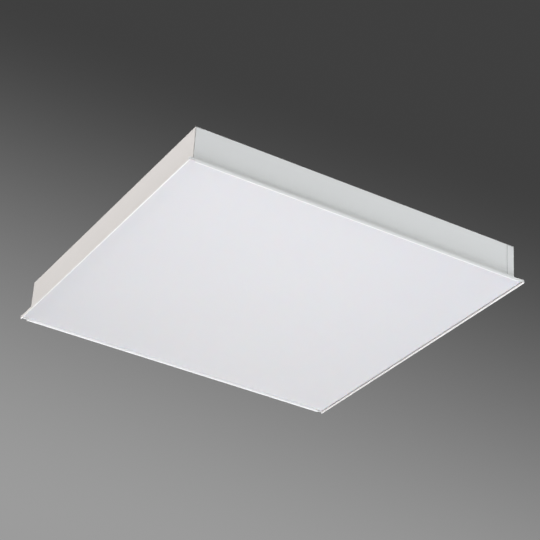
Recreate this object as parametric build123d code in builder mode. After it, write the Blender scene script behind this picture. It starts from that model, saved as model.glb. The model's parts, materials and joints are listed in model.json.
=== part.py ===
from build123d import *
import os

os.makedirs("parts", exist_ok=True)

# A recessed ceiling luminaire for a 600 mm grid. Millimetres, +Z up. The origin is the centre of
# the face in the plane of the lip bottoms, which rest on the ceiling grid. -Y is the front, where
# the door opens, and +Y is the rear, where it hangs on its two straps.

# ------------------------------------------------------------------ driving dimensions
# housing, folded from one sheet
face = 597.0                # across the outer faces of the lips
height = 69.0               # from the lip bottoms to the top panel
flange = 11.0               # from a lip's outer face to the wall above it
sheet = 0.8                 # housing sheet
bend = 1.6                  # outside radius of a bend
lip_bend = 1.2              # the same, between a lip and the flange
flange_top = 5.7            # top of the flange above the lip bottoms
hem = 1.7                   # lip with its edge folded back on itself
hem_round = 0.5             # rounding of the fold at the lip bottom
flap_plain = 13.4           # corner flap on a plain bend
flap_perforated = 16.8      # corner flap on a perforated bend, at the flange
flap_taper = 3.3            # how much narrower that flap is at its top
flap_relief = 2.8           # from the top panel down to a corner flap
perforation = 0.9           # width of a slot in a perforated bend
bridge = 1.4                # metal left between two of those slots
first_bridge = 15.1         # from the flange to the lowest bridge
bridge_pitch = 25.4         # from one bridge to the next
seam = 0.4                  # slit between the flanges at a corner
hem_cut = 8.8               # from a side lip to the hem of an end lip
hem_step = 1.9              # how much shallower an end lip is beyond its hem
tab_gap = 0.3               # clearance round an end lip beyond its hem

# top panel
bead_width = 12.0           # stiffening beads, pressed downwards
bead_depth = 1.6
bead_margin = 95.0          # from a bead's end to the side wall
bead_places = [-200.0, 65.0, 200.0]
entry_bore = 22.0           # cable entries
entry_edge = 37.0           # from the side wall to the row of entries
entry_y = 60.0              # the entry that holds the cable grommet
spare_entry_y = (110.0, -160.0)
hang_hole = 5.0             # suspension holes
hang_edge = 37.5            # from a wall to the suspension holes
access_width = 110.0        # wiring access opening, along X
access_depth = 80.0         # the same, along Y
access_radius = 4.0
access_edge = 117.5         # from the side wall to the centre of that opening
access_y = -60.0
cover_lap = 10.0            # how far the access cover laps the panel
cover_sheet = 0.8
cover_radius = 5.0
cover_lift = 0.1            # between the panel and the cover
cover_pin = 4.8             # shank of the cover's rivet and screw
cover_head = 9.0
cover_head_height = 1.6
cover_head_round = 0.8
cover_slot_width = 1.2      # driver slot in the screw's head
cover_slot_depth = 0.9
cover_washer = 1.2          # the same rivet and screw, under the panel
cover_fit = 0.1
cover_way = 12.0            # length of the open slot at the cover's screw
cover_slot_gap = 0.4        # between that slot and the screw
pivot_inset = 5.0           # from the cover's edges to its rivet and screw

# door
plate = 1.5                 # opal diffuser
plate_radius = 1.5          # its corners
plate_round = 0.3           # its lower edges
edge_gap = 1.5              # between the diffuser's edge and a lip
top_gap = 0.3               # between the diffuser and the flange
tape = 0.8                  # bonding strip
tape_width = 10.0
tape_gap = 1.0              # between two strips, at a corner
rail_leg = 14.0             # carrier rail, an angle
rail_skirt = 12.6
rail_sheet = 0.8
rail_gap = 0.2              # between two rails, at a corner
gusset = 30.0
gusset_gap = 0.3            # between a gusset and the skirts
strap_drop = 22.0           # how far the straps come down as the door opens

# drop hinge
hinge_inset = 85.0          # from a side wall to a strap's centre
strap_width = 16.0
strap_sheet = 1.0
strap_length = 44.0         # above the pin
pin = 2.5                   # hinge pin diameter
pin_fit = 0.05              # radial clearance of a pin in its hole
pin_lift = 3.4              # pin centre above the diffuser
knuckle_wall = 1.0
knuckle_gap = 0.6           # from a knuckle to the wall behind it
ear_sheet = 1.0
guide_sheet = 1.0
guide_flange = 8.0
guide_bottom = 15.0         # above the lip bottoms
guide_length = 36.0
slide_gap = 0.3             # between a strap and its guide
stop_pin = 3.0              # diameter of the pin that ends the strap's travel
stop_inset = 6.0            # from the guide's lower end to that pin
stop_head = 1.2             # thickness of the pin's head
bracket_gap = 1.2           # between a knuckle and the hinge bracket's back
bracket_lift = 0.2          # between a rail's leg and the hinge bracket
pin_end = 1.0               # hinge pin beyond an ear
pin_head = 0.8              # thickness of the hinge pin's head
pin_head_step = 0.3         # how much smaller the head is than a knuckle

# magnetic catch
catch_inset = 110.0         # from a side wall to a catch's centre
magnet_width = 20.0
magnet_depth = 10.0
magnet_height = 6.0
magnet_radius = 1.0
magnet_inset = 0.5          # from the magnet to the rail's outer face
strike_sheet = 1.2
strike_lap = 2.0            # strike plate beyond a magnet's end
strike_foot = 1.0           # from a rail's leg to the strike plate
catch_gap = 0.4             # between a magnet and its strike plate
catch_sheet = 1.2
catch_lap = 1.0             # catch bracket beyond a magnet
catch_leg = 16.0            # height of the catch bracket on the wall

# gear tray
gear_space = 27.4           # between the tray and the top panel
tray_sheet = 0.8
tray_slope = 20.0           # width of each sloped side
tray_fall = 16.0            # how far a sloped side comes down
tray_gap = 28.0             # from the tray's rim to a wall
bracket_width = 18.0
bracket_sheet = 1.2
bracket_foot = 14.0
tray_screw_inset = 12.0     # from the tray's slope to its screws
tray_screw = 4.0
screw_head = 7.6
screw_head_height = 2.4
screw_head_round = 1.0
screw_end = 2.0             # screw beyond what it holds
drive_slot = 0.9            # width of the cross in a screw's head
drive_margin = 1.5          # from the cross to the head's edge

# light source
rows = 6
lenses_per_row = 6
board_width = 20.0
board_sheet = 1.2
board_edge = 18.0           # from a board's end to the tray's slope
lens = 14.0                 # lens diameter
lens_height = 5.5
lens_base = 1.5             # straight part of a lens
rivet = 3.0
rivet_head = 5.6
rivet_head_height = 1.4
rivet_head_round = 0.8
rivet_end = 2.0             # rivet above the tray
rivet_inset = 6.0           # from a board's end to its outer rivets
rivet_fit = 0.1
connector_inset = 18.0      # from a board's end to its connector
connector_length = 8.0
connector_width = 12.0
connector_height = 4.0

# driver
driver_length = 250.0
driver_width = 30.0
driver_height = 21.0
driver_sheet = 0.7
driver_foot = 14.0          # base plate beyond a terminal
driver_terminal = 14.0      # length of a terminal at each end
driver_x = -55.0
driver_radius = 2.0         # corners of the base plate
driver_lead_half = 4.0      # half the distance between the leads at one end
driver_lead_lift = 8.0      # a lead's centre above the base plate
driver_terminal_step = 4.0  # how much narrower a terminal is, each side
driver_terminal_height = 12.0
driver_terminal_round = 1.5
board_lift = 4.0            # driver board above the base plate
driver_board_sheet = 1.6
driver_board_gap = 0.3      # between that board and the cover
component_height = 11.0
component_round = 0.8
transformer = (10.0, 0.0, 26.0, 22.0)   # centre from the driver's, length, width
chokes = [(-60.0, -4.0, 16.0, 14.0), (62.0, 4.0, 16.0, 14.0)]
capacitors = [(-30.0, 5.0, 10.0), (90.0, -5.0, 10.0)]   # the last is a diameter

# supply terminal with clamp levers
poles = ("line", "neutral", "earth")
pole_pitch = 10.0
terminal_length = 34.0
terminal_height = 9.0
wire_entry = 3.6            # square hole for a conductor
entry_depth = 9.0
entry_reach = 4.0           # how far a lead goes into its hole
cheek = 2.0
cheek_length = 8.0
cheek_rise = 2.6            # cheek above a lever's pivot
lever_rise = 2.7            # a lever's pivot above the block
lever_inset = 6.0           # from the block's centre to the levers' pivots
lever_round = 0.8
lever_length = 12.0
lever_sheet = 2.4
lever_gap = 0.3             # between a lever and a cheek
trunnion = 2.4              # diameter of a lever's pivot
trunnion_reach = 0.8        # how far a pivot goes into its cheek

# leads
lead = 2.0                  # diameter of an insulated lead
lead_bend = 5.5             # centreline radius
lead_clear = 0.3            # between the two output leads, each side of the middle
feed_half = 2.0             # half the distance between them at the board
board_lead_drop = 2.6       # their centres below the board
link_side = 4.6             # from a board's centre line to a link lead
link_reach = 9.5            # how far a link lead stands off its connector
grommet_hole = 10.0         # in the tray, for the output leads
grommet_lip = 1.5           # the tray grommet beyond the tray, each way
grommet_slot_end = 1.2      # from its slot to the hole's edge
grommet_slot_gap = 1.3      # between a lead and the slot
cable_bore = 9.0            # in the cable grommet
cable_lip = 2.0             # the cable grommet beyond the panel's hole
cable_lip_low = 2.0         # its thickness under the panel
cable_lip_high = 1.5        # and above it
cable_lip_slant = (0.8, 0.5)    # slant of its rim under the panel and above it
plug_head = 1.4             # blanking plug above the panel
plug_round = 0.8
plug_skirt = 5.0            # and below it
plug_fit = 0.2
plug_wall = 1.4

# earth screw
earth_offset = 48.0         # from the supply terminal's centre
earth_y = -12.0
earth_nut = 3.0
earth_end = 4.0             # screw below the tray
tag_sheet = 0.8
tag_ring = 0.6              # ring tag beyond the screw's head
tag_width = 3.6
tag_reach = 8.0

# ------------------------------------------------------------------ derived places
half = face / 2
wall = half - flange                    # outer face of a side wall
end_wall = wall - sheet                 # outer face of an end wall, behind the flaps
side_inner = wall - sheet
end_inner = end_wall - sheet
flange_low = flange_top - sheet
flap_top = height - flap_relief
tab_top = flange_top - lip_bend - tab_gap   # top of an end lip beyond its flange
ceiling = height - sheet                # underside of the top panel
lip_inner = half - hem
hem_end = lip_inner - hem_cut

plate_half = lip_inner - edge_gap
plate_top = flange_low - top_gap
plate_low = plate_top - plate
leg_low = plate_top + tape
leg_top = leg_low + rail_sheet
skirt_top = leg_low + rail_skirt

knuckle = pin / 2 + pin_fit + knuckle_wall
pin_y = end_inner - knuckle_gap - knuckle
pin_z = plate_top + pin_lift
rail_out = pin_y - knuckle - bracket_gap - ear_sheet
rail_in = rail_out - rail_leg
hinge_x = wall - hinge_inset
catch_x = wall - catch_inset

rim = wall - tray_gap
tray_flat = rim - tray_slope
tray_top = ceiling - gear_space
tray_low = tray_top - tray_sheet
row_pitch = 2 * tray_flat / rows
board_half = tray_flat - board_edge
lens_pitch = 2 * board_half / lenses_per_row
row_places = [(row - (rows - 1) / 2) * row_pitch for row in range(rows)]
tray_hold = tray_flat - tray_screw_inset    # tray screws, along X
tray_hold_y = row_pitch                 # the same, along Y, between two boards
grommet_x = -tray_hold                  # hole for the output leads

driver_y = (row_places[1] + row_places[2]) / 2
driver_z = tray_top + driver_sheet
driver_end = driver_length / 2
driver_fix = driver_end + driver_terminal + driver_foot / 2

access_x = wall - access_edge
terminal_y = access_y
terminal_x = access_x
terminal_half = (len(poles) * pole_pitch + cheek) / 2
lever_x = terminal_x - lever_inset
earth_x = terminal_x - earth_offset
lever_z = tray_top + terminal_height + lever_rise
entry_x = wall - entry_edge
spare_entries = [(entry_x, y) for y in spare_entry_y]
hang = wall - hang_edge
bead_half = wall - bead_margin

cover_low = height + cover_lift
cover_top = cover_low + cover_sheet
cover_half_x = access_width / 2 + cover_lap
cover_half_y = access_depth / 2 + cover_lap
pivot_x = access_x - cover_half_x + pivot_inset
pivot_y = access_y - cover_half_y + pivot_inset
catch_screw_x = access_x + cover_half_x - pivot_inset
catch_screw_y = access_y + cover_half_y - pivot_inset


def finish(builder, name):
    """Name a finished piece and write it."""
    builder.part.label = name
    export_step(builder.part, f"parts/{name}.step")


# ------------------------------------------------------------------ housing shell
with BuildPart() as housing_shell:
    # top panel and walls
    with BuildSketch(Plane.XY.offset(flange_low)):
        Rectangle(2 * wall, 2 * end_wall)
    extrude(amount=height - flange_low)
    fillet(housing_shell.faces().sort_by(Axis.Z)[-1].edges(), bend)
    offset(amount=-sheet, openings=housing_shell.faces().sort_by(Axis.Z)[0])

    # corner flaps, which carry the side walls round onto the end walls
    for sign in (-1, 1):
        flaps = (
            (sign * wall, -sign * flap_perforated, -sign * (flap_perforated - flap_taper)),
            (-sign * wall, sign * flap_plain, sign * flap_plain),
        )
        for corner_x, foot_reach, top_reach in flaps:
            with BuildSketch(Plane.XZ.offset(-sign * end_wall)):
                with BuildLine():
                    Polyline(
                        (corner_x, flange_low),
                        (corner_x + foot_reach, flange_low),
                        (corner_x + top_reach, flap_top),
                        (corner_x, flap_top),
                        close=True,
                    )
                make_face()
            extrude(amount=-sign * sheet)
    with BuildSketch(Plane.XY.offset(flange_low)):
        with GridLocations(2 * wall - bend, 2 * wall - bend, 2, 2):
            Rectangle(bend, bend)
        with GridLocations(2 * (wall - bend), 2 * (wall - bend), 2, 2):
            Circle(bend, mode=Mode.SUBTRACT)
    extrude(amount=flap_top - flange_low, mode=Mode.SUBTRACT)

    # flange all round
    with BuildSketch(Plane.XY.offset(flange_low)):
        Rectangle(face, face)
        Rectangle(2 * side_inner, 2 * end_inner, mode=Mode.SUBTRACT)
    extrude(amount=sheet)

    # hemmed lips: full length at the sides, cut short at the ends
    with BuildSketch():
        for sign in (-1, 1):
            with Locations((sign * (half - hem / 2), 0)):
                Rectangle(hem, face)
            with Locations((0, sign * (half - hem / 2))):
                Rectangle(2 * side_inner, hem)
    extrude(amount=flange_low)

    # beyond its flange an end lip runs on, first with its hem, then one sheet thick and shallower
    with BuildSketch():
        for sign in (-1, 1):
            with Locations((0, sign * (half - hem / 2))):
                Rectangle(2 * hem_end, hem)
    extrude(amount=tab_top)
    with BuildSketch(Plane.XY.offset(hem_step)):
        for sign in (-1, 1):
            with Locations((0, sign * (half - sheet / 2))):
                Rectangle(2 * (lip_inner - tab_gap), sheet)
    extrude(amount=tab_top - hem_step)

    # slits between the side flanges and the end flanges
    with BuildSketch(Plane.XY.offset(flange_low)):
        with GridLocations(2 * side_inner + seam, 2 * half - flange, 2, 2):
            Rectangle(seam, flange)
    extrude(amount=sheet, mode=Mode.SUBTRACT)

    # bends along the lips and the flange
    long_edges = housing_shell.edges().filter_by(lambda e: e.length > wall)
    fillet(long_edges.filter_by(lambda e: abs(e.center().Z) < 0.01), hem_round)
    lip_bends = housing_shell.edges().filter_by(
        lambda e: e.length > wall
        and abs(e.center().Z - flange_top) < 0.01
        and max(abs(e.center().X), abs(e.center().Y)) > half - 0.01
    )
    fillet(lip_bends, lip_bend)

    # perforated bends at two corners
    bridge_low = flange_top + first_bridge
    bridges = [flange_top, bridge_low, bridge_low + bridge_pitch, flap_top]
    for sign in (-1, 1):
        for lower, upper in zip(bridges, bridges[1:]):
            corner = Plane(
                origin=(sign * (wall - bend / 3), sign * (wall - bend / 3), lower + bridge / 2),
                x_dir=(1, 1, 0),
                z_dir=(0, 0, 1),
            )
            with BuildSketch(corner):
                Rectangle(2 * bend, perforation)
            extrude(amount=upper - lower - bridge, mode=Mode.SUBTRACT)

    # stiffening beads in the top panel
    with BuildSketch(Plane.XY.offset(ceiling)):
        with Locations([(0, y) for y in bead_places]):
            SlotOverall(2 * bead_half, bead_width)
    extrude(amount=-bead_depth)
    with BuildSketch(Plane.XY.offset(height)):
        with Locations([(0, y) for y in bead_places]):
            SlotOverall(2 * (bead_half - sheet), bead_width - 2 * sheet)
    extrude(amount=-bead_depth, mode=Mode.SUBTRACT)

    # openings in the top panel
    with BuildSketch(Plane.XY.offset(height)):
        with Locations((access_x, access_y)):
            RectangleRounded(access_width, access_depth, access_radius)
        with Locations((entry_x, entry_y), *spare_entries):
            Circle(entry_bore / 2)
        with GridLocations(2 * hang, 2 * hang, 2, 2):
            Circle(hang_hole / 2)
        with Locations((pivot_x, pivot_y), (catch_screw_x, catch_screw_y)):
            Circle(cover_pin / 2 + pin_fit)
    extrude(amount=-sheet, mode=Mode.SUBTRACT)
finish(housing_shell, "housing_shell")

# ------------------------------------------------------------------ drop hinge
guide_inner = strap_width / 2 + slide_gap
guide_front = pin_y + knuckle - strap_sheet - slide_gap - guide_sheet
strap_back = pin_y + knuckle
stop_z = guide_bottom + stop_inset
slot_low = stop_z - stop_pin / 2 - slide_gap
slot_high = stop_z + strap_drop + stop_pin / 2 + slide_gap

for side, x in (("left", -hinge_x), ("right", hinge_x)):
    # guide: a hat section welded to the rear wall
    with BuildPart() as hinge_guide:
        outer = guide_inner + guide_sheet
        foot = outer + guide_flange
        with BuildSketch(Plane.XY.offset(guide_bottom)):
            with Locations((x, (guide_front + end_inner) / 2)):
                Rectangle(2 * outer, end_inner - guide_front)
            with Locations((x, end_inner - guide_sheet / 2)):
                Rectangle(2 * foot, guide_sheet)
            with Locations((x, (guide_front + guide_sheet + end_inner) / 2)):
                Rectangle(2 * guide_inner, end_inner - guide_front - guide_sheet, mode=Mode.SUBTRACT)
        extrude(amount=guide_length)
        with BuildSketch(Plane.XZ.offset(-guide_front)):
            with Locations((x, stop_z)):
                Circle(stop_pin / 2 + pin_fit)
        extrude(amount=-guide_sheet, mode=Mode.SUBTRACT)
    finish(hinge_guide, f"hinge_guide_{side}")

    # strap with a rolled knuckle, slotted for the stop pin
    with BuildPart() as hinge_strap:
        with BuildSketch(Plane.YZ.offset(x - strap_width / 2)):
            with Locations((pin_y, pin_z)):
                Circle(knuckle)
            with Locations((strap_back - strap_sheet / 2, pin_z + strap_length / 2)):
                Rectangle(strap_sheet, strap_length)
            with Locations((pin_y, pin_z)):
                Circle(pin / 2 + pin_fit, mode=Mode.SUBTRACT)
        extrude(amount=strap_width)
        with BuildSketch(Plane.XZ.offset(-strap_back)):
            with Locations((x, (slot_low + slot_high) / 2)):
                SlotOverall(slot_high - slot_low, stop_pin + 2 * slide_gap, rotation=90)
        extrude(amount=strap_sheet, mode=Mode.SUBTRACT)
    finish(hinge_strap, f"hinge_strap_{side}")

with BuildPart() as stop_pins:
    with BuildSketch(Plane.XZ.offset(-guide_front)):
        with Locations((-hinge_x, stop_z), (hinge_x, stop_z)):
            Circle(stop_pin / 2)
    extrude(amount=guide_front - end_inner)
    with BuildSketch(Plane.XZ.offset(-guide_front)):
        with Locations((-hinge_x, stop_z), (hinge_x, stop_z)):
            Circle(stop_pin)
    extrude(amount=stop_head)
finish(stop_pins, "stop_pins")

# ------------------------------------------------------------------ door
with BuildPart() as diffuser:
    with BuildSketch(Plane.XY.offset(plate_low)):
        RectangleRounded(2 * plate_half, 2 * plate_half, plate_radius)
    extrude(amount=plate)
    fillet(diffuser.faces().sort_by(Axis.Z)[0].edges(), plate_round)
finish(diffuser, "diffuser")

# strips that bond the rails to the diffuser
strip_place = rail_in + rail_leg / 2
strip_half = strip_place - tape_width / 2 - tape_gap
with BuildPart() as bond_strips:
    with BuildSketch(Plane.XY.offset(plate_top)):
        for sign in (-1, 1):
            with Locations((0, sign * strip_place)):
                Rectangle(2 * rail_in + rail_leg, tape_width)
            with Locations((sign * strip_place, 0)):
                Rectangle(tape_width, 2 * strip_half)
    extrude(amount=tape)
finish(bond_strips, "bond_strips")

# carrier rails: angles whose skirts stand up into the housing
for name, turn in (("rear", 0), ("left", 90), ("front", 180), ("right", 270)):
    across = turn % 180 == 0
    skirt_half = rail_out if across else rail_out - rail_sheet - rail_gap
    leg_half = rail_out if across else rail_in - rail_gap
    rail_plane = Plane.XY.rotated((0, 0, turn))
    with BuildPart() as carrier_rail:
        with BuildSketch(rail_plane.offset(leg_low)):
            with Locations((0, rail_in + rail_leg / 2)):
                Rectangle(2 * leg_half, rail_leg)
        extrude(amount=rail_sheet)
        with BuildSketch(rail_plane.offset(leg_low)):
            with Locations((0, rail_out - rail_sheet / 2)):
                Rectangle(2 * leg_half, rail_sheet)
        extrude(amount=rail_skirt)
        with BuildSketch(rail_plane.offset(leg_top)):
            with Locations((0, rail_out - rail_sheet / 2)):
                Rectangle(2 * skirt_half, rail_sheet)
        extrude(amount=rail_skirt - rail_sheet)
    finish(carrier_rail, f"carrier_rail_{name}")

# gussets that join the rails' legs at the corners
gusset_out = rail_out - rail_sheet - gusset_gap
with BuildPart() as corner_gussets:
    with BuildSketch(Plane.XY.offset(leg_top)):
        for x_sign in (-1, 1):
            for y_sign in (-1, 1):
                with BuildLine():
                    Polyline(
                        (x_sign * gusset_out, y_sign * gusset_out),
                        (x_sign * (gusset_out - gusset), y_sign * gusset_out),
                        (x_sign * gusset_out, y_sign * (gusset_out - gusset)),
                        close=True,
                    )
                make_face()
    extrude(amount=rail_sheet)
finish(corner_gussets, "corner_gussets")

# hinge brackets: two ears each, folded from a plate on the rear rail's skirt
ear_inner = strap_width / 2 + slide_gap
bracket_low = leg_top + bracket_lift
bracket_face = rail_out + ear_sheet
with BuildPart() as hinge_brackets:
    for x in (-hinge_x, hinge_x):
        with BuildSketch(Plane.XZ.offset(-rail_out)):
            with Locations((x, (bracket_low + skirt_top) / 2)):
                Rectangle(2 * (ear_inner + ear_sheet), skirt_top - bracket_low)
        extrude(amount=-ear_sheet)
        for left in (x - ear_inner - ear_sheet, x + ear_inner):
            with BuildSketch(Plane.YZ.offset(left)):
                with Locations((pin_y, pin_z)):
                    Circle(knuckle)
                with Locations((bracket_face - ear_sheet / 2, (bracket_low + skirt_top) / 2)):
                    Rectangle(ear_sheet, skirt_top - bracket_low)
                make_hull()
                with Locations((pin_y, pin_z)):
                    Circle(pin / 2 + pin_fit, mode=Mode.SUBTRACT)
            extrude(amount=ear_sheet)
finish(hinge_brackets, "hinge_brackets")

pin_half = ear_inner + ear_sheet + pin_end
with BuildPart() as hinge_pins:
    for x in (-hinge_x, hinge_x):
        with BuildSketch(Plane.YZ.offset(x - pin_half)):
            with Locations((pin_y, pin_z)):
                Circle(pin / 2)
        extrude(amount=2 * pin_half)
        with BuildSketch(Plane.YZ.offset(x - pin_half)):
            with Locations((pin_y, pin_z)):
                Circle(knuckle - pin_head_step)
        extrude(amount=pin_head)
finish(hinge_pins, "hinge_pins")

# ------------------------------------------------------------------ magnetic catch
strike_top = skirt_top + strike_sheet
magnet_low = strike_top + catch_gap
magnet_top = magnet_low + magnet_height
magnet_y = -(rail_out - magnet_depth / 2 - magnet_inset)
strike_width = magnet_width + 2 * strike_lap
strike_low = leg_top + strike_foot

with BuildPart() as strike_plates:
    for x in (-catch_x, catch_x):
        with BuildSketch(Plane.XY.offset(skirt_top)):
            with Locations((x, magnet_y)):
                Rectangle(strike_width, magnet_depth + 2 * magnet_inset)
        extrude(amount=strike_sheet)
        with BuildSketch(Plane.XY.offset(strike_low)):
            with Locations((x, -(rail_out - rail_sheet - strike_sheet / 2))):
                Rectangle(strike_width, strike_sheet)
        extrude(amount=skirt_top - strike_low)
finish(strike_plates, "strike_plates")

with BuildPart() as catch_magnets:
    for x in (-catch_x, catch_x):
        with BuildSketch(Plane.XY.offset(magnet_low)):
            with Locations((x, magnet_y)):
                RectangleRounded(magnet_width, magnet_depth, magnet_radius)
        extrude(amount=magnet_height)
finish(catch_magnets, "catch_magnets")

catch_front = magnet_y + magnet_depth / 2 + catch_lap
with BuildPart() as catch_brackets:
    for x in (-catch_x, catch_x):
        with BuildSketch(Plane.YZ.offset(x - magnet_width / 2 - catch_lap)):
            with BuildLine():
                Polyline(
                    (-end_inner, magnet_top),
                    (catch_front, magnet_top),
                    (catch_front, magnet_top + catch_sheet),
                    (-end_inner + catch_sheet, magnet_top + catch_sheet),
                    (-end_inner + catch_sheet, magnet_top + catch_leg),
                    (-end_inner, magnet_top + catch_leg),
                    close=True,
                )
            make_face()
        extrude(amount=magnet_width + 2 * catch_lap)
finish(catch_brackets, "catch_brackets")

# ------------------------------------------------------------------ gear tray and its brackets
screw_places = [(x, y) for x in (-tray_hold, tray_hold) for y in (-2 * tray_hold_y, 2 * tray_hold_y)]
driver_screw_places = [(driver_x - driver_fix, driver_y), (driver_x + driver_fix, driver_y)]
rivet_x = board_half - rivet_inset
rivet_places = [(x, y) for y in row_places for x in (-rivet_x, 0.0, rivet_x)]

with BuildPart() as gear_tray:
    with BuildSketch(Plane.XY.offset(tray_top - tray_fall)):
        Rectangle(2 * rim, 2 * rim)
    with BuildSketch(Plane.XY.offset(tray_top)):
        Rectangle(2 * tray_flat, 2 * tray_flat)
    loft(ruled=True)
    offset(amount=-tray_sheet, openings=gear_tray.faces().sort_by(Axis.Z)[0])
    with BuildSketch(Plane.XY.offset(tray_top)):
        with Locations(screw_places):
            Circle(tray_screw / 2 + rivet_fit)
        with Locations(rivet_places):
            Circle(rivet / 2 + rivet_fit)
        with Locations((grommet_x, 0)):
            Circle(grommet_hole / 2)
        with Locations((earth_x, earth_y), *driver_screw_places):
            Circle(tray_screw / 2 + rivet_fit)
    extrude(amount=-tray_sheet, mode=Mode.SUBTRACT)
finish(gear_tray, "gear_tray")

with BuildPart() as tray_brackets:
    for x, y in screw_places:
        inward = -1 if y > 0 else 1
        with BuildSketch(Plane.YZ.offset(x - bracket_width / 2)):
            with BuildLine():
                Polyline(
                    (y - inward * bracket_foot / 2, tray_top),
                    (y + inward * bracket_foot / 2, tray_top),
                    (y + inward * bracket_foot / 2, ceiling - bracket_sheet),
                    (y + inward * 1.5 * bracket_foot, ceiling - bracket_sheet),
                    (y + inward * 1.5 * bracket_foot, ceiling),
                    (y + inward * (bracket_foot / 2 - bracket_sheet), ceiling),
                    (y + inward * (bracket_foot / 2 - bracket_sheet), tray_top + bracket_sheet),
                    (y - inward * bracket_foot / 2, tray_top + bracket_sheet),
                    close=True,
                )
            make_face()
        extrude(amount=bracket_width)
        with BuildSketch(Plane.XY.offset(tray_top)):
            with Locations((x, y)):
                Circle(tray_screw / 2 + pin_fit)
        extrude(amount=bracket_sheet, mode=Mode.SUBTRACT)
finish(tray_brackets, "tray_brackets")

with BuildPart() as tray_screws:
    with BuildSketch(Plane.XY.offset(tray_low)):
        with Locations(screw_places):
            Circle(screw_head / 2)
    extrude(amount=-screw_head_height)
    fillet(tray_screws.faces().group_by(Axis.Z)[0].edges(), screw_head_round)
    with BuildSketch(Plane.XY.offset(tray_low - screw_head_height)):
        with Locations(screw_places):
            Rectangle(screw_head - 2 * drive_margin, drive_slot)
            Rectangle(drive_slot, screw_head - 2 * drive_margin)
    extrude(amount=screw_head_height / 2, mode=Mode.SUBTRACT)
    with BuildSketch(Plane.XY.offset(tray_low)):
        with Locations(screw_places):
            Circle(tray_screw / 2)
    extrude(amount=tray_sheet + bracket_sheet + screw_end)
finish(tray_screws, "tray_screws")

with BuildPart() as tray_grommet:
    with BuildSketch(Plane.XY.offset(tray_low - grommet_lip)):
        with Locations((grommet_x, 0)):
            Circle(grommet_hole / 2 + grommet_lip)
    extrude(amount=tray_sheet + 2 * grommet_lip)
    # groove that the edge of the tray sits in
    with BuildSketch(Plane.XY.offset(tray_low)):
        with Locations((grommet_x, 0)):
            Circle(grommet_hole / 2 + 2 * grommet_lip)
            Circle(grommet_hole / 2, mode=Mode.SUBTRACT)
    extrude(amount=tray_sheet, mode=Mode.SUBTRACT)
    with BuildSketch(Plane.XY.offset(tray_low - grommet_lip)):
        with Locations((grommet_x, 0)):
            SlotOverall(grommet_hole - 2 * grommet_slot_end, lead + 2 * grommet_slot_gap)
    extrude(amount=tray_sheet + 2 * grommet_lip, mode=Mode.SUBTRACT)
finish(tray_grommet, "tray_grommet")

# ------------------------------------------------------------------ light source, under the tray
board_low = tray_low - board_sheet
lens_places = [(place - (lenses_per_row - 1) / 2) * lens_pitch for place in range(lenses_per_row)]
for row, y in enumerate(row_places, start=1):
    with BuildPart() as led_board:
        with BuildSketch(Plane.XY.offset(board_low)):
            with Locations((0, y)):
                Rectangle(2 * board_half, board_width)
            with Locations([place for place in rivet_places if place[1] == y]):
                Circle(rivet / 2 + rivet_fit, mode=Mode.SUBTRACT)
        extrude(amount=board_sheet)
    finish(led_board, f"led_board_{row}")

    with BuildPart() as led_lenses:
        with BuildSketch(Plane.XY.offset(board_low)):
            with Locations([(x, y) for x in lens_places]):
                Circle(lens / 2)
        extrude(amount=-lens_height)
        fillet(led_lenses.faces().group_by(Axis.Z)[0].edges(), lens_height - lens_base)
    finish(led_lenses, f"led_lenses_{row}")

with BuildPart() as board_rivets:
    with BuildSketch(Plane.XY.offset(board_low)):
        with Locations(rivet_places):
            Circle(rivet_head / 2)
    extrude(amount=-rivet_head_height)
    fillet(board_rivets.faces().group_by(Axis.Z)[0].edges(), rivet_head_round)
    with BuildSketch(Plane.XY.offset(board_low)):
        with Locations(rivet_places):
            Circle(rivet / 2)
    extrude(amount=board_sheet + tray_sheet + rivet_end)
finish(board_rivets, "board_rivets")

connector_x = connector_inset - board_half
with BuildPart() as board_connectors:
    with BuildSketch(Plane.XY.offset(board_low)):
        with Locations([(connector_x, y) for y in row_places]):
            Rectangle(connector_length, connector_width)
    extrude(amount=-connector_height)
finish(board_connectors, "board_connectors")

# ------------------------------------------------------------------ driver, on the tray
with BuildPart() as driver_base:
    with BuildSketch(Plane.XY.offset(tray_top)):
        with Locations((driver_x, driver_y)):
            RectangleRounded(2 * (driver_fix + driver_foot / 2), driver_width, driver_radius)
        with Locations(driver_screw_places):
            Circle(tray_screw / 2 + rivet_fit, mode=Mode.SUBTRACT)
    extrude(amount=driver_sheet)
finish(driver_base, "driver_base")

with BuildPart() as driver_cover:
    with BuildSketch(Plane.XY.offset(driver_z)):
        with Locations((driver_x, driver_y)):
            Rectangle(driver_length, driver_width)
    extrude(amount=driver_height - driver_sheet)
    fillet(driver_cover.faces().sort_by(Axis.Z)[-1].edges(), bend)
    offset(amount=-driver_sheet, openings=driver_cover.faces().sort_by(Axis.Z)[0])
finish(driver_cover, "driver_cover")

board_z = driver_z + board_lift
board_inset = 2 * (driver_sheet + driver_board_gap)
with BuildPart() as driver_board:
    with BuildSketch(Plane.XY.offset(board_z)):
        with Locations((driver_x, driver_y)):
            Rectangle(driver_length - board_inset, driver_width - board_inset)
    extrude(amount=driver_board_sheet)
finish(driver_board, "driver_board")

with BuildPart() as driver_components:
    with BuildSketch(Plane.XY.offset(board_z + driver_board_sheet)):
        for x, y, length, width in (transformer, *chokes):
            with Locations((driver_x + x, driver_y + y)):
                RectangleRounded(length, width, component_round)
        for x, y, diameter in capacitors:
            with Locations((driver_x + x, driver_y + y)):
                Circle(diameter / 2)
    extrude(amount=component_height)
    fillet(driver_components.faces().group_by(Axis.Z)[-1].edges(), component_round / 2)
finish(driver_components, "driver_components")

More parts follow.
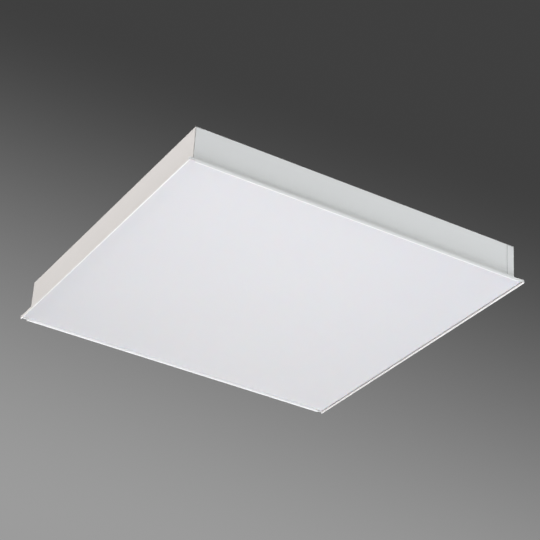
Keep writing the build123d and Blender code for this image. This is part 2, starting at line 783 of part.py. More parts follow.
for name, sign in (("input", 1), ("output", -1)):
    with BuildPart() as driver_block:
        with BuildSketch(Plane.XY.offset(driver_z)):
            with Locations((driver_x + sign * (driver_end + driver_terminal / 2), driver_y)):
                Rectangle(driver_terminal, driver_width - 2 * driver_terminal_step)
        extrude(amount=driver_terminal_height)
        fillet(driver_block.edges().filter_by(Axis.Y).group_by(Axis.Z)[-1], driver_terminal_round)
    finish(driver_block, f"driver_{name}_terminal")

with BuildPart() as driver_screws:
    with BuildSketch(Plane.XY.offset(driver_z)):
        with Locations(driver_screw_places):
            Circle(screw_head / 2)
    extrude(amount=screw_head_height)
    fillet(driver_screws.faces().group_by(Axis.Z)[-1].edges(), screw_head_round)
    with BuildSketch(Plane.XY.offset(driver_z)):
        with Locations(driver_screw_places):
            Circle(tray_screw / 2)
    extrude(amount=-driver_sheet - tray_sheet - screw_end)
finish(driver_screws, "driver_screws")

# ------------------------------------------------------------------ supply terminal and its levers
pole_y = [terminal_y + (pole - (len(poles) - 1) / 2) * pole_pitch for pole in range(len(poles))]
cheek_y = [y - pole_pitch / 2 for y in pole_y] + [pole_y[-1] + pole_pitch / 2]
cheek_top = lever_z + cheek_rise
terminal_top = tray_top + terminal_height
supply_z = tray_top + terminal_height / 2

with BuildPart() as terminal_block:
    with BuildSketch(Plane.XY.offset(tray_top)):
        with Locations((terminal_x, terminal_y)):
            Rectangle(terminal_length, 2 * terminal_half)
    extrude(amount=terminal_height)
    for y in cheek_y:
        with BuildSketch(Plane.XZ.offset(-y - cheek / 2)):
            with Locations((lever_x, (terminal_top + cheek_top) / 2)):
                Rectangle(cheek_length, cheek_top - terminal_top)
            with Locations((lever_x, lever_z)):
                Circle(trunnion / 2 + pin_fit, mode=Mode.SUBTRACT)
        extrude(amount=cheek)
    # wire entries on both sides
    for sign in (-1, 1):
        with BuildSketch(Plane.YZ.offset(terminal_x + sign * terminal_length / 2)):
            with Locations([(y, supply_z) for y in pole_y]):
                Rectangle(wire_entry, wire_entry)
        extrude(amount=-sign * entry_depth, mode=Mode.SUBTRACT)
finish(terminal_block, "terminal_block")

lever_half = (pole_pitch - cheek) / 2 - lever_gap
for name, y in zip(poles, pole_y):
    with BuildPart() as lever:
        with BuildSketch(Plane.XZ.offset(-y - lever_half)):
            with Locations((lever_x, lever_z)):
                Circle(lever_sheet / 2)
            with Locations((lever_x + lever_length / 2, lever_z)):
                Rectangle(lever_length, lever_sheet)
        extrude(amount=2 * lever_half)
        fillet(lever.edges().filter_by(Axis.Y).sort_by(Axis.X)[-2:], lever_round)
        with BuildSketch(Plane.XZ.offset(-y - lever_half - lever_gap - trunnion_reach)):
            with Locations((lever_x, lever_z)):
                Circle(trunnion / 2)
        extrude(amount=2 * (lever_half + lever_gap + trunnion_reach))
    finish(lever, f"lever_{name}")

# ------------------------------------------------------------------ earth screw and leads
with BuildPart() as earth_screw:
    with BuildSketch(Plane.XY.offset(tray_top + tag_sheet)):
        with Locations((earth_x, earth_y)):
            RegularPolygon(screw_head / 2, 6)
    extrude(amount=screw_head_height)
    with BuildSketch(Plane.XY.offset(tray_low - earth_end)):
        with Locations((earth_x, earth_y)):
            Circle(tray_screw / 2)
    extrude(amount=earth_end + tray_sheet + tag_sheet)
    with BuildSketch(Plane.XY.offset(tray_low)):
        with Locations((earth_x, earth_y)):
            RegularPolygon(screw_head / 2, 6)
    extrude(amount=-earth_nut)
    # ring tag on the end of the earth lead
    with BuildSketch(Plane.XY.offset(tray_top)):
        with Locations((earth_x, earth_y)):
            Circle(screw_head / 2 + tag_ring)
        with Locations((earth_x, earth_y - tag_reach / 2)):
            Rectangle(tag_width, tag_reach)
    extrude(amount=tag_sheet)
finish(earth_screw, "earth_screw")

driver_lead_z = driver_z + driver_lead_lift
board_lead_z = board_low - board_lead_drop
input_x = driver_x + driver_end + driver_terminal
output_x = driver_x - driver_end - driver_terminal
supply_x = terminal_x - terminal_length / 2 + entry_reach
tag_z = tray_top + tag_sheet + lead / 2
line_y, neutral_y, earth_lead_y = pole_y
low_y = driver_y - driver_lead_half
high_y = driver_y + driver_lead_half
feed_row = row_places[rows // 2 - 1]
socket_x = connector_x - connector_length / 2
pair = lead / 2 + lead_clear            # half the spacing of the two leads in the tray grommet

routes = {
    "lead_line": [
        (supply_x, line_y, supply_z),
        (supply_x - 24, line_y, supply_z),
        (input_x + 24, low_y, driver_lead_z),
        (input_x, low_y, driver_lead_z),
    ],
    "lead_neutral": [
        (supply_x, neutral_y, supply_z),
        (supply_x - 28, neutral_y, supply_z),
        (input_x + 20, high_y, driver_lead_z),
        (input_x, high_y, driver_lead_z),
    ],
    "lead_earth": [
        (supply_x, earth_lead_y, supply_z),
        (earth_x, earth_lead_y, supply_z),
        (earth_x, earth_y - tag_reach - 12, tag_z),
        (earth_x, earth_y - tag_reach + 2, tag_z),
    ],
    "lead_negative": [
        (output_x, low_y, driver_lead_z),
        (grommet_x - pair, low_y, driver_lead_z),
        (grommet_x - pair, 0, driver_lead_z),
        (grommet_x - pair, 0, board_lead_z),
        (grommet_x - pair, feed_row - feed_half, board_lead_z),
        (socket_x, feed_row - feed_half, board_lead_z),
    ],
    "lead_positive": [
        (output_x, high_y, driver_lead_z),
        (grommet_x + pair, high_y, driver_lead_z),
        (grommet_x + pair, 0, driver_lead_z),
        (grommet_x + pair, 0, board_lead_z),
        (grommet_x + pair, feed_row + feed_half, board_lead_z),
        (socket_x, feed_row + feed_half, board_lead_z),
    ],
}
for name, route in routes.items():
    with BuildPart() as insulated_lead:
        with BuildLine(mode=Mode.PRIVATE) as path:
            FilletPolyline(*route, radius=lead_bend)
        with BuildSketch(path.line ^ 0):
            Circle(lead / 2)
        sweep(path=path.line)
    finish(insulated_lead, name)

with BuildPart() as link_leads:
    for lower, upper in zip(row_places, row_places[1:]):
        with BuildLine(mode=Mode.PRIVATE) as path:
            FilletPolyline(
                (socket_x, lower + link_side, board_lead_z),
                (socket_x - link_reach, lower + link_side, board_lead_z),
                (socket_x - link_reach, upper - link_side, board_lead_z),
                (socket_x, upper - link_side, board_lead_z),
                radius=lead_bend,
            )
        with BuildSketch(path.line ^ 0):
            Circle(lead / 2)
        sweep(path=path.line)
finish(link_leads, "link_leads")

# ------------------------------------------------------------------ top panel fittings
cable_rim = entry_bore / 2 + cable_lip
slant_low, slant_high = cable_lip_slant
with BuildPart() as cable_grommet:
    with BuildSketch(Plane.XZ.offset(-entry_y)):
        with BuildLine():
            Polyline(
                (entry_x + cable_bore / 2, ceiling - cable_lip_low),
                (entry_x + cable_rim - slant_low, ceiling - cable_lip_low),
                (entry_x + cable_rim, ceiling),
                (entry_x + entry_bore / 2, ceiling),
                (entry_x + entry_bore / 2, height),
                (entry_x + cable_rim, height),
                (entry_x + cable_rim - slant_high, height + cable_lip_high),
                (entry_x + cable_bore / 2, height + cable_lip_high),
                close=True,
            )
        make_face()
    revolve(axis=Axis((entry_x, entry_y, 0), (0, 0, 1)))
finish(cable_grommet, "cable_grommet")

with BuildPart() as blanking_plugs:
    with BuildSketch(Plane.XY.offset(height)):
        with Locations(spare_entries):
            Circle(cable_rim)
    extrude(amount=plug_head)
    fillet(blanking_plugs.faces().group_by(Axis.Z)[-1].edges(), plug_round)
    with BuildSketch(Plane.XY.offset(height)):
        with Locations(spare_entries):
            Circle(entry_bore / 2 - plug_fit)
            Circle(entry_bore / 2 - plug_fit - plug_wall, mode=Mode.SUBTRACT)
    extrude(amount=-plug_skirt)
finish(blanking_plugs, "blanking_plugs")

with BuildPart() as access_cover:
    with BuildSketch(Plane.XY.offset(cover_low)):
        with Locations((access_x, access_y)):
            RectangleRounded(2 * cover_half_x, 2 * cover_half_y, cover_radius)
        with Locations((pivot_x, pivot_y)):
            Circle(cover_pin / 2 + cover_fit, mode=Mode.SUBTRACT)
        # open slot that lets the cover swing out from under the catch screw
        reach = Vector(catch_screw_x - pivot_x, catch_screw_y - pivot_y)
        leave = Vector(reach.Y, -reach.X).normalized() * cover_way
        with Locations((catch_screw_x + leave.X / 2, catch_screw_y + leave.Y / 2)):
            slope = Vector(1, 0).get_signed_angle(leave, Vector(0, 0, 1))
            SlotCenterToCenter(
                cover_way, cover_pin + 2 * cover_slot_gap, rotation=slope, mode=Mode.SUBTRACT
            )
    extrude(amount=cover_sheet)
finish(access_cover, "access_cover")

for name, x, y, slotted in (
    ("cover_pivot", pivot_x, pivot_y, False),
    ("cover_catch_screw", catch_screw_x, catch_screw_y, True),
):
    with BuildPart() as cover_fixing:
        with BuildSketch(Plane.XY.offset(ceiling - cover_washer)):
            with Locations((x, y)):
                Circle(cover_head / 2)
        extrude(amount=cover_washer)
        with BuildSketch(Plane.XY.offset(ceiling)):
            with Locations((x, y)):
                Circle(cover_pin / 2)
        extrude(amount=cover_top + cover_fit - ceiling)
        with BuildSketch(Plane.XY.offset(cover_top + cover_fit)):
            with Locations((x, y)):
                Circle(cover_head / 2)
        extrude(amount=cover_head_height)
        fillet(cover_fixing.faces().sort_by(Axis.Z)[-1].edges(), cover_head_round)
        if slotted:
            with BuildSketch(Plane.XY.offset(cover_top + cover_fit + cover_head_height)):
                with Locations((x, y)):
                    Rectangle(2 * cover_head, cover_slot_width)
            extrude(amount=-cover_slot_depth, mode=Mode.SUBTRACT)
    finish(cover_fixing, name)
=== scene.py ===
import json
import bmesh
import bpy
from math import cos, pi, radians, sin
from mathutils import Matrix, Vector


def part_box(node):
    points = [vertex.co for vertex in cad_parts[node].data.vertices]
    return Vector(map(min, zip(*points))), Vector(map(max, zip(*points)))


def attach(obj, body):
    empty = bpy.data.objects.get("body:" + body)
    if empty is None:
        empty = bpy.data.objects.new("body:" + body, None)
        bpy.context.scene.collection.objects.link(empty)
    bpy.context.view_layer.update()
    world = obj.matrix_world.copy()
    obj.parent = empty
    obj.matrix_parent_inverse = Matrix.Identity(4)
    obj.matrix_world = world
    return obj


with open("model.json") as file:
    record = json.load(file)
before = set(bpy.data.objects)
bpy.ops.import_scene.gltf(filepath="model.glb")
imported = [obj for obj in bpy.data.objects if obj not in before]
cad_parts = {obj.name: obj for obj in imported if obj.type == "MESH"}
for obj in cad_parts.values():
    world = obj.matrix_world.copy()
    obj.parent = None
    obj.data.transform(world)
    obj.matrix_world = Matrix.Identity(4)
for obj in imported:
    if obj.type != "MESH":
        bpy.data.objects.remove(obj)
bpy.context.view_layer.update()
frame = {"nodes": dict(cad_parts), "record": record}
nodes = frame["nodes"]

# ---------------------------------------------------------- camera, at the photograph's angle
CAMERA_PLACE = Vector((-1.2265, -2.2702, -1.4181))
CAMERA_AZIMUTH = radians(-28.534)       # from the front; towards +X is positive
CAMERA_ELEVATION = radians(-29.805)     # below the luminaire, looking up
CAMERA_ROLL = radians(-4.096)
CAMERA_LENS = 121.1                     # mm
CAMERA_SENSOR = 36                      # mm wide
CAMERA_REACH = 100                      # m, the furthest that it sees


def camera_axes():
    """Right, down and backwards for the photograph's line of sight, rolled as it was."""
    back = Vector((
        sin(CAMERA_AZIMUTH) * cos(CAMERA_ELEVATION),
        -cos(CAMERA_AZIMUTH) * cos(CAMERA_ELEVATION),
        sin(CAMERA_ELEVATION),
    ))
    level_right = (-back).cross(Vector((0, 0, 1))).normalized()
    level_down = (-back).cross(level_right)
    right = cos(CAMERA_ROLL) * level_right + sin(CAMERA_ROLL) * level_down
    down = cos(CAMERA_ROLL) * level_down - sin(CAMERA_ROLL) * level_right
    return right, down, back


def make_camera():
    right, down, back = camera_axes()
    data = bpy.data.cameras.new("camera")
    data.lens = CAMERA_LENS
    data.sensor_width = CAMERA_SENSOR
    data.clip_end = CAMERA_REACH
    camera = bpy.data.objects.new("camera", data)
    turn = Matrix((right, -down, back)).transposed().to_4x4()
    camera.matrix_world = Matrix.Translation(CAMERA_PLACE) @ turn
    bpy.context.scene.collection.objects.link(camera)
    bpy.context.scene.camera = camera


# ---------------------------------------------------------- material helpers
NOISE_LOW, NOISE_HIGH = 0.30, 0.70      # most values of a Noise node lie between these


class Material:
    """A node material with one Principled shader, and short calls that add nodes to it."""

    def __init__(self, name, roughness, metallic=0.0, **sockets):
        self.material = bpy.data.materials.new(name)
        self.material.use_nodes = True
        self.tree = self.material.node_tree
        self.shader = self.tree.nodes["Principled BSDF"]
        self.set("Roughness", roughness)
        self.set("Metallic", metallic)
        for socket, value in sockets.items():
            self.set(socket.replace("_", " "), value)
        coordinates = self.tree.nodes.new("ShaderNodeTexCoord")
        self.place = coordinates.outputs["Object"]
        self.facing = coordinates.outputs["Normal"]

    def set(self, socket, value):
        self.shader.inputs[socket].default_value = value

    def link(self, source, target):
        self.tree.links.new(source, target)

    # values
    def scaled(self, x, y, z):
        """Object coordinates, stretched for a directional pattern."""
        node = self.tree.nodes.new("ShaderNodeMapping")
        node.inputs["Scale"].default_value = (x, y, z)
        self.link(self.place, node.inputs["Vector"])
        return node.outputs["Vector"]

    def axis(self, name):
        node = self.tree.nodes.new("ShaderNodeSeparateXYZ")
        self.link(self.place, node.inputs["Vector"])
        return node.outputs[name]

    def noise(self, scale, detail=2.0, place=None):
        node = self.tree.nodes.new("ShaderNodeTexNoise")
        node.inputs["Scale"].default_value = scale
        node.inputs["Detail"].default_value = detail
        self.link(place or self.place, node.inputs["Vector"])
        return node.outputs["Fac"]

    def cells(self, scale):
        node = self.tree.nodes.new("ShaderNodeTexVoronoi")
        node.inputs["Scale"].default_value = scale
        self.link(self.place, node.inputs["Vector"])
        return node.outputs["Distance"]

    def math(self, operation, *values):
        """A Math node; each value is a socket or a number."""
        node = self.tree.nodes.new("ShaderNodeMath")
        node.operation = operation
        for socket, value in zip(node.inputs, values):
            if isinstance(value, (int, float)):
                socket.default_value = value
            else:
                self.link(value, socket)
        return node.outputs[0]

    def all_of(self, first, *others):
        """The product of several masks."""
        for other in others:
            first = self.math("MULTIPLY", first, other)
        return first

    def spread(self, value, low, high, source_low=NOISE_LOW, source_high=NOISE_HIGH):
        """The value, taken from its own range to the range low to high."""
        node = self.tree.nodes.new("ShaderNodeMapRange")
        node.inputs["From Min"].default_value = source_low
        node.inputs["From Max"].default_value = source_high
        node.inputs["To Min"].default_value = low
        node.inputs["To Max"].default_value = high
        self.link(value, node.inputs["Value"])
        return node.outputs["Result"]

    def within(self, value, low, high, edge=0.0001):
        """1 where the value lies between low and high, 0 outside, with a short slope."""
        rise = self.spread(value, 0, 1, low - edge, low + edge)
        fall = self.spread(value, 1, 0, high - edge, high + edge)
        return self.math("MULTIPLY", rise, fall)

    def ramp(self, value, dark, light):
        """dark, going over to light across a Noise node's range."""
        node = self.tree.nodes.new("ShaderNodeValToRGB")
        first, last = node.color_ramp.elements
        first.position, last.position = NOISE_LOW, NOISE_HIGH
        first.color, last.color = (*dark, 1), (*light, 1)
        self.link(value, node.inputs["Fac"])
        return node.outputs["Color"]

    def blended(self, factor, first, second):
        """first, going over to second as the factor rises; each is a socket or a colour."""
        node = self.tree.nodes.new("ShaderNodeMix")
        node.data_type = "RGBA"
        self.link(factor, node.inputs["Factor"])
        for socket, colour in ((node.inputs["A"], first), (node.inputs["B"], second)):
            if isinstance(colour, tuple):
                socket.default_value = (*colour, 1)
            else:
                self.link(colour, socket)
        return node.outputs["Result"]

    def bump(self, height, depth, strength, under=None):
        node = self.tree.nodes.new("ShaderNodeBump")
        node.inputs["Strength"].default_value = strength
        node.inputs["Distance"].default_value = depth
        self.link(height, node.inputs["Height"])
        if under:
            self.link(under, node.inputs["Normal"])
        return node.outputs["Normal"]

    # what the shader takes
    def base(self, colour):
        self.link(colour, self.shader.inputs["Base Color"])

    def rough(self, value, low, high):
        self.link(self.spread(value, low, high), self.shader.inputs["Roughness"])

    def normal(self, value):
        self.link(value, self.shader.inputs["Normal"])

    def tone(self, dark, light, scale, detail=2):
        self.base(self.ramp(self.noise(scale, detail), dark, light))

    def gloss(self, low, high, scale):
        self.rough(self.noise(scale), low, high)

    def grain(self, scale, depth, strength, detail=2):
        self.normal(self.bump(self.noise(scale, detail), depth, strength))


def shade(colour, factor):
    return tuple(channel * factor for channel in colour)


# ---------------------------------------------------------- materials
PAINT = (0.860, 0.858, 0.842)
FOLD_HIGHLIGHT = (0.945, 0.945, 0.935)  # painted highlight along the lips' rounded folds
GAP_SHADE = (0.56, 0.56, 0.55)         # painted shade inside the gap beside the diffuser
# painted shade in the seam over each flap's top
SEAM_SHADE = (0.62, 0.62, 0.61)
# a plain flap's cut edge: bare steel, darkened further as painted shade
CUT_STEEL_AND_SHADE = (0.40, 0.40, 0.40)
PAINT_ROUGHNESS = 0.48
PAINT_DRIFT = 0.985                     # its darkest tone against its own colour

# places on the housing, in metres; the distances are from its middle
FOLD_TOP = 0.0007                       # the lips' rounded folds lie below this
LIP_FACE = (0.2960, 0.2970)             # inner faces of the side lips
LIP_SHADE_FROM, LIP_SHADE_FULL = 0.0019, 0.0024   # heights where the painted shade on them starts and is full
FLAP_FACE = 0.2868                      # corner flaps stand out from the end walls past this
FLAP_REACH = 0.2735                     # and lie beyond this, along X
FLAP_SPAN = (0.0062, 0.0660)            # their height above the flange
PLAIN_EDGE = (0.27375, 0.27430)         # cut edge of a plain flap, along X
PLAIN_EDGE_SLOPE = 0.00005
SEAM_SPAN = (0.0662, 0.0679)            # height of the seam over a flap's top
SEAM_FACE = 0.2865                      # which lies past this

EARTH_GREEN, EARTH_YELLOW = (0.02, 0.26, 0.05), (0.80, 0.62, 0.03)
STRIPE_SIDE = (0.45, 0.35, 0.82)        # the way that the earth lead's stripes face
STRIPE_FROM, STRIPE_FULL = 0.58, 0.66   # how squarely they face it


def coated(name, colour, roughness):
    """White polyester powder on sheet steel: fine orange peel and a faint drift of tone."""
    m = Material(name, roughness)
    m.gloss(roughness - 0.05, roughness + 0.05, scale=140)
    peel = m.bump(m.noise(620, detail=1.5), depth=0.00004, strength=0.5)
    m.normal(m.bump(m.noise(1900, detail=1), depth=0.00002, strength=0.4, under=peel))
    return m, m.ramp(m.noise(2.6, detail=3), shade(colour, PAINT_DRIFT), colour)


def powder_coat(name, colour, roughness=PAINT_ROUGHNESS):
    m, paint = coated(name, colour, roughness)
    m.base(paint)
    return m.material


def folded_housing():
    """The shell's paint, with painted highlights on the lips' folds, painted shade beside the
    diffuser and in the seams over the flaps, and each plain flap's cut edge bare steel darkened
    further as painted shade.
    """
    m, paint = coated("folded_housing", PAINT, PAINT_ROUGHNESS)
    x, y, z = m.axis("X"), m.axis("Y"), m.axis("Z")
    across, along = m.math("ABSOLUTE", x), m.math("ABSOLUTE", y)

    # the lips' rounded folds, lightened to a painted highlight
    fold = m.math("LESS_THAN", z, FOLD_TOP)
    # painted shade on the side lips' upper inner faces, in the gap beside the diffuser
    beside_diffuser = m.all_of(
        m.within(across, *LIP_FACE),
        m.spread(z, 0, 1, LIP_SHADE_FROM, LIP_SHADE_FULL),
        m.math("LESS_THAN", along, LIP_FACE[0]),
    )
    # painted shade in the seam over each corner flap's top
    over_flap = m.all_of(
        m.within(z, *SEAM_SPAN),
        m.math("GREATER_THAN", across, FLAP_REACH),
        m.math("GREATER_THAN", along, SEAM_FACE),
    )
    # the plain flaps' cut edges: bare steel, darkened further as painted shade
    plain_flap_edge = m.all_of(
        m.within(across, *PLAIN_EDGE, edge=PLAIN_EDGE_SLOPE),
        m.math("GREATER_THAN", along, FLAP_FACE),
        m.within(z, *FLAP_SPAN),
        m.math("LESS_THAN", m.math("MULTIPLY", x, y), 0),
    )

    colour = paint
    for mask, tone in (
        (fold, FOLD_HIGHLIGHT),
        (beside_diffuser, GAP_SHADE),
        (over_flap, SEAM_SHADE),
        (plain_flap_edge, CUT_STEEL_AND_SHADE),
    ):
        colour = m.blended(mask, colour, tone)
    m.base(colour)
    return m.material


def opal_plastic(name, colour):
    """Satin opal sheet: matt skin over a milky body that lets a little light in."""
    m = Material(name, 0.38, Subsurface_Weight=0.12, Subsurface_Scale=0.002)
    m.tone(shade(colour, 0.985), colour, scale=1.7)
    m.gloss(0.34, 0.42, scale=60)
    m.grain(scale=1500, depth=0.00002, strength=0.35)
    return m.material


def zinc_plate(name, colour):
    """Bright zinc on rolled steel, with fine rolling lines and a soft crystal mottle."""
    m = Material(name, 0.36, metallic=1.0)
    crystals = m.spread(m.cells(260), 0.9, 1.1, source_low=0.0, source_high=0.6)
    mottle = m.math("MULTIPLY", m.noise(90, detail=3), crystals)
    m.base(m.ramp(mottle, shade(colour, 0.84), colour))
    rolling_lines = m.noise(900, place=m.scaled(0.06, 1, 1))
    m.rough(rolling_lines, 0.30, 0.46)
    m.normal(m.bump(rolling_lines, depth=0.00002, strength=0.3))
    return m.material


def moulded(name, colour, roughness=0.4):
    """A moulded plastic with a slight grain and uneven gloss."""
    m = Material(name, roughness)
    m.tone(shade(colour, 0.93), colour, scale=30)
    m.gloss(roughness - 0.06, roughness + 0.06, scale=700)
    m.grain(scale=700, depth=0.00003, strength=0.4)
    return m.material


def clear_lens():
    """Clear moulded acrylic, glossy, with faint flow marks in its skin."""
    m = Material("clear_lens", 0.10, Alpha=0.30, IOR=1.49)
    m.tone((0.80, 0.82, 0.83), (0.90, 0.91, 0.91), scale=300)
    m.gloss(0.06, 0.14, scale=500)
    m.grain(scale=350, depth=0.00004, strength=0.4)
    return m.material


def phosphor():
    """Silicone filled with yellow phosphor powder, slightly mottled."""
    m = Material("phosphor", 0.30)
    m.tone((0.66, 0.50, 0.06), (0.78, 0.62, 0.10), scale=2500, detail=3)
    m.gloss(0.24, 0.36, scale=1500)
    m.grain(scale=2500, depth=0.00003, strength=0.4)
    return m.material


def tinned_copper():
    """Tinned contact pads, dull and a little uneven."""
    m = Material("tinned_copper", 0.34, metallic=1.0)
    m.tone((0.62, 0.62, 0.60), (0.76, 0.75, 0.72), scale=700, detail=3)
    m.gloss(0.26, 0.44, scale=900)
    m.grain(scale=800, depth=0.00004, strength=0.5)
    return m.material


def earth_insulation():
    """Green insulation with a yellow stripe down each of two opposite sides."""
    m = Material("green_yellow_insulation", 0.4)
    side = m.tree.nodes.new("ShaderNodeVectorMath")
    side.operation = "DOT_PRODUCT"
    side.inputs[1].default_value = STRIPE_SIDE
    m.link(m.facing, side.inputs[0])
    squarely = m.math("ABSOLUTE", side.outputs["Value"])
    stripe = m.spread(squarely, 0, 1, STRIPE_FROM, STRIPE_FULL)
    m.base(m.blended(stripe, EARTH_GREEN, EARTH_YELLOW))
    m.gloss(0.34, 0.46, scale=900)
    m.grain(scale=900, depth=0.00002, strength=0.3)
    return m.material


SLOT_MATERIALS = {
    "white_powder_coat": powder_coat("white_powder_coat", PAINT),
    "opal_plastic": opal_plastic("opal_plastic", (0.748, 0.750, 0.768)),
    "reflector_white": powder_coat("reflector_white", (0.81, 0.81, 0.80), 0.55),
    "zinc_plated_steel": zinc_plate("zinc_plated_steel", (0.66, 0.67, 0.68)),
    "ferrite": moulded("ferrite", (0.035, 0.034, 0.036), 0.5),
    "circuit_white": moulded("circuit_white", (0.80, 0.81, 0.80), 0.35),
    "clear_lens": clear_lens(),
    "white_nylon": moulded("white_nylon", (0.76, 0.76, 0.73), 0.42),
    "grey_terminal": moulded("grey_terminal", (0.36, 0.37, 0.38), 0.45),
    "orange_lever": moulded("orange_lever", (0.70, 0.17, 0.02), 0.35),
    "black_rubber": moulded("black_rubber", (0.022, 0.022, 0.023), 0.62),
    "foam_tape": moulded("foam_tape", (0.50, 0.51, 0.52), 0.8),
    "driver_case": powder_coat("driver_case", (0.64, 0.65, 0.66)),
    "circuit_green": moulded("circuit_green", (0.02, 0.12, 0.05), 0.3),
    "black_components": moulded("black_components", (0.02, 0.02, 0.022)),
    "brown_insulation": moulded("brown_insulation", (0.11, 0.045, 0.02)),
    "blue_insulation": moulded("blue_insulation", (0.015, 0.07, 0.36)),
    "green_yellow_insulation": earth_insulation(),
    "red_insulation": moulded("red_insulation", (0.42, 0.015, 0.012)),
    "black_insulation": moulded("black_insulation", (0.018, 0.018, 0.018)),
    "white_insulation": moulded("white_insulation", (0.70, 0.70, 0.68)),
}


def dress_nodes():
    """Give every CAD node the material of its slot, and the shell its own with marked edges."""
    for part in frame["record"]["subparts"]:
        mesh = nodes[part["node"]].data
        mesh.materials.clear()
        mesh.materials.append(SLOT_MATERIALS[part["material_slot"]])
    nodes["housing_shell"].data.materials[0] = folded_housing()


# ---------------------------------------------------------- light-emitting parts, in metres
ROWS = 6
LENSES = 6                              # in a row
SIDES = 24                              # of a round outline
CHIP_LENGTH, CHIP_WIDTH = 0.0035, 0.0028
CHIP_HEIGHT = 0.0007
CHIP_BEVEL = CHIP_HEIGHT / 10
WELL_RADIUS = 0.00115                   # the round well in a chip
WELL_FLOOR_RADIUS = 0.85 * WELL_RADIUS
WELL_DEPTH = 0.00015
PAD_LENGTH, PAD_WIDTH = 0.0012, 0.0022
PAD_HEIGHT = 0.00008
TRACK_PLACE = 0.0085                    # from a board's centre line
TRACK_WIDTH = 0.0010
TRACK_MARGIN = 0.006                    # from a track's end to the board's end
TEST_PAD_RADIUS = 0.0009
TEST_PAD_PLACE = 0.015                  # from a lens's centre, along the board

# the materials of a piece, by their place in its list
BODY, WELL = 0, 1
MASK, TIN = 0, 1


def lens_centres(row):
    """Where the lenses of one board meet it, from the box of that row."""
    low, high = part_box(f"led_lenses_{row}")
    radius = (high[1] - low[1]) / 2
    step = (high[0] - low[0] - 2 * radius) / (LENSES - 1)
    middle = (low[1] + high[1]) / 2
    return [Vector((low[0] + radius + index * step, middle, high[2])) for index in range(LENSES)]


def add_ring(mesh, middle, points, depth):
    """The vertices of one outline, set down from the board by depth."""
    return [mesh.verts.new(middle + Vector((x, y, -depth))) for x, y in points]


def join_rings(mesh, rings, material):
    for upper, lower in zip(rings, rings[1:]):
        for index in range(len(upper)):
            follow = (index + 1) % len(upper)
            quad = (upper[index], upper[follow], lower[follow], lower[index])
            mesh.faces.new(quad).material_index = material


def close_rings(mesh, rings, first_material, last_material):
    mesh.faces.new(rings[-1]).material_index = last_material
    mesh.faces.new(rings[0][::-1]).material_index = first_material


def circle(radius, shift=0.0):
    """Points of a round outline; shift turns it by a part of one side."""
    turns = [2 * pi * (index + shift) / SIDES for index in range(SIDES)]
    return [(radius * cos(turn), radius * sin(turn)) for turn in turns]


def rectangle(length, width):
    return [
        (-length / 2, -width / 2), (length / 2, -width / 2),
        (length / 2, width / 2), (-length / 2, width / 2),
    ]


def chip_outline(shrink):
    """A chip's rectangle, with a point for each point of the well."""
    points = []
    for x, y in circle(1, shift=0.5):
        reach = min(
            (CHIP_LENGTH / 2 - shrink) / abs(x),
            (CHIP_WIDTH / 2 - shrink) / abs(y),
        )
        points.append((reach * x, reach * y))
    return points


def add_chip(mesh, centre):
    """One packaged diode: a bevelled body with a round well, filled with phosphor."""
    rings = [add_ring(mesh, centre, points, depth) for points, depth in (
        (chip_outline(0), 0),
        (chip_outline(0), CHIP_HEIGHT - CHIP_BEVEL),
        (chip_outline(CHIP_BEVEL), CHIP_HEIGHT),
        (circle(WELL_RADIUS, shift=0.5), CHIP_HEIGHT),
        (circle(WELL_FLOOR_RADIUS, shift=0.5), CHIP_HEIGHT - WELL_DEPTH),
        (circle(WELL_FLOOR_RADIUS / 2, shift=0.5), CHIP_HEIGHT - WELL_DEPTH / 2),
    )]
    join_rings(mesh, rings[:5], BODY)
    join_rings(mesh, rings[4:], WELL)
    close_rings(mesh, rings, BODY, WELL)


def add_slab(mesh, middle, length, width, material):
    """A thin plate with slanted sides, standing down from a board."""
    rings = [add_ring(mesh, middle, rectangle(length - 2 * shrink, width - 2 * shrink), depth)
             for shrink, depth in ((0, 0), (0, PAD_HEIGHT / 2), (PAD_HEIGHT / 2, PAD_HEIGHT))]
    join_rings(mesh, rings, material)
    close_rings(mesh, rings, material, material)


def add_disc(mesh, middle, radius, material):
    """A round pad with a slanted side, standing down from a board."""
    rings = [add_ring(mesh, middle, circle(radius - shrink), depth)
             for shrink, depth in ((0, 0), (0, PAD_HEIGHT / 2), (PAD_HEIGHT / 2, PAD_HEIGHT))]
    join_rings(mesh, rings, material)
    close_rings(mesh, rings, material, material)


def add_piece(name, mesh, materials, body):
    """Turn a finished bmesh into a piece that rides on a body."""
    bmesh.ops.recalc_face_normals(mesh, faces=mesh.faces)
    data = bpy.data.meshes.new(name)
    mesh.to_mesh(data)
    mesh.free()
    for material in materials:
        data.materials.append(material)
    piece = bpy.data.objects.new(name, data)
    bpy.context.scene.collection.objects.link(piece)
    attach(piece, body)


